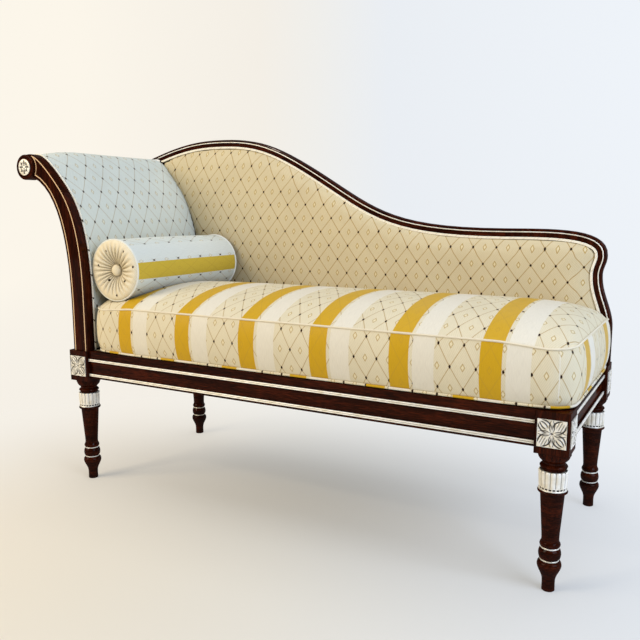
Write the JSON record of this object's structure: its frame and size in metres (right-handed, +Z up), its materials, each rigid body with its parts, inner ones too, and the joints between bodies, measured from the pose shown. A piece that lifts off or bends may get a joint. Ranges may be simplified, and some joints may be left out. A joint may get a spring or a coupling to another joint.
{
  "type": "recamier",
  "caption": "Long one-armed day couch with a scrolled arm, a back that sweeps down to the foot, turned legs, a loose boxed seat cushion and a round bolster.",
  "frame": {"origin": "on the floor, under the middle of the whole length and midway between the front and back legs", "axes": "+X along the length from the scrolled arm to the open foot, -Y to the front, +Z up"},
  "size_m": [1.5073, 0.5445, 0.967],
  "materials": {
    "show_wood": "hand-polished dark mahogany",
    "silvered_carving": "carved wood, silvered and toned ivory",
    "silver_line": "silvered and burnished line",
    "inner_wood": "planed beech, no finish",
    "screw_steel": "zinc plated",
    "webbing": "woven jute",
    "deck_cloth": "unbleached cotton",
    "dust_cloth": "black lining cloth",
    "striped_fabric": "woven satin stripe, cream and gold",
    "lattice_fabric": "woven lattice, cream and gold"
  },
  "bodies": {
    "frame": {"corner_block_front_left": "show_wood", "corner_block_front_right": "show_wood", "corner_block_back_left": "show_wood", "corner_block_back_right": "show_wood", "leg_front_left": "show_wood", "leg_front_right": "show_wood", "leg_back_left": "show_wood", "leg_back_right": "show_wood", "fluted_cup_front_left": "silvered_carving", "fluted_cup_front_right": "silvered_carving", "fluted_cup_back_left": "silvered_carving", "fluted_cup_back_right": "silvered_carving", "leg_rings": "silvered_carving", "rosette_tile_front_left": "silvered_carving", "rosette_tile_front_right": "silvered_carving", "rosette_tile_right_front": "silvered_carving", "rosette_tile_right_back": "silvered_carving", "rosette_tile_left_front": "silvered_carving", "rosette_tile_left_back": "silvered_carving", "front_rail": "show_wood", "back_rail": "show_wood", "left_rail": "show_wood", "right_rail": "show_wood", "front_rail_beads": "silver_line", "left_rail_beads": "silver_line", "right_rail_beads": "silver_line", "corner_braces": "inner_wood", "brace_screws": "screw_steel", "middle_cross_bar": "inner_wood", "seat_webbing_long": "webbing", "seat_webbing_cross": "webbing", "deck_cloth": "deck_cloth", "dust_cloth": "dust_cloth", "post_dowels": "inner_wood", "arm_board_front": "show_wood", "arm_board_back": "show_wood", "arm_inlay": "silver_line", "scroll_roundel": "show_wood", "scroll_rosette": "silvered_carving", "arm_bead": "lattice_fabric", "arm_bottom_rail": "inner_wood", "arm_middle_rail": "inner_wood", "arm_top_rail": "inner_wood", "arm_roll_core": "inner_wood", "arm_webbing": "webbing", "arm_pad": "lattice_fabric", "arm_outside_panel": "lattice_fabric", "crest_hump": "show_wood", "crest_sweep": "show_wood", "foot_post": "show_wood", "crest_line": "silver_line", "crest_bead": "lattice_fabric", "back_bottom_rail": "inner_wood", "back_uprights": "inner_wood", "back_webbing": "webbing", "back_pad": "lattice_fabric", "back_outside_panel": "lattice_fabric"},
    "seat_cushion": {"seat_cushion": "striped_fabric"},
    "bolster": {"bolster": "striped_fabric", "bolster_buttons": "striped_fabric"}
  },
  "joints": [
    {"name": "seat_cushion_lift", "type": "slide", "parent": "frame", "child": "seat_cushion", "axis": [0, 0, 1], "range_m": [0, 0.6]},
    {"name": "bolster_lift", "type": "slide", "parent": "seat_cushion", "child": "bolster", "axis": [0, 0, 1], "range_m": [0, 0.5]}
  ]
}
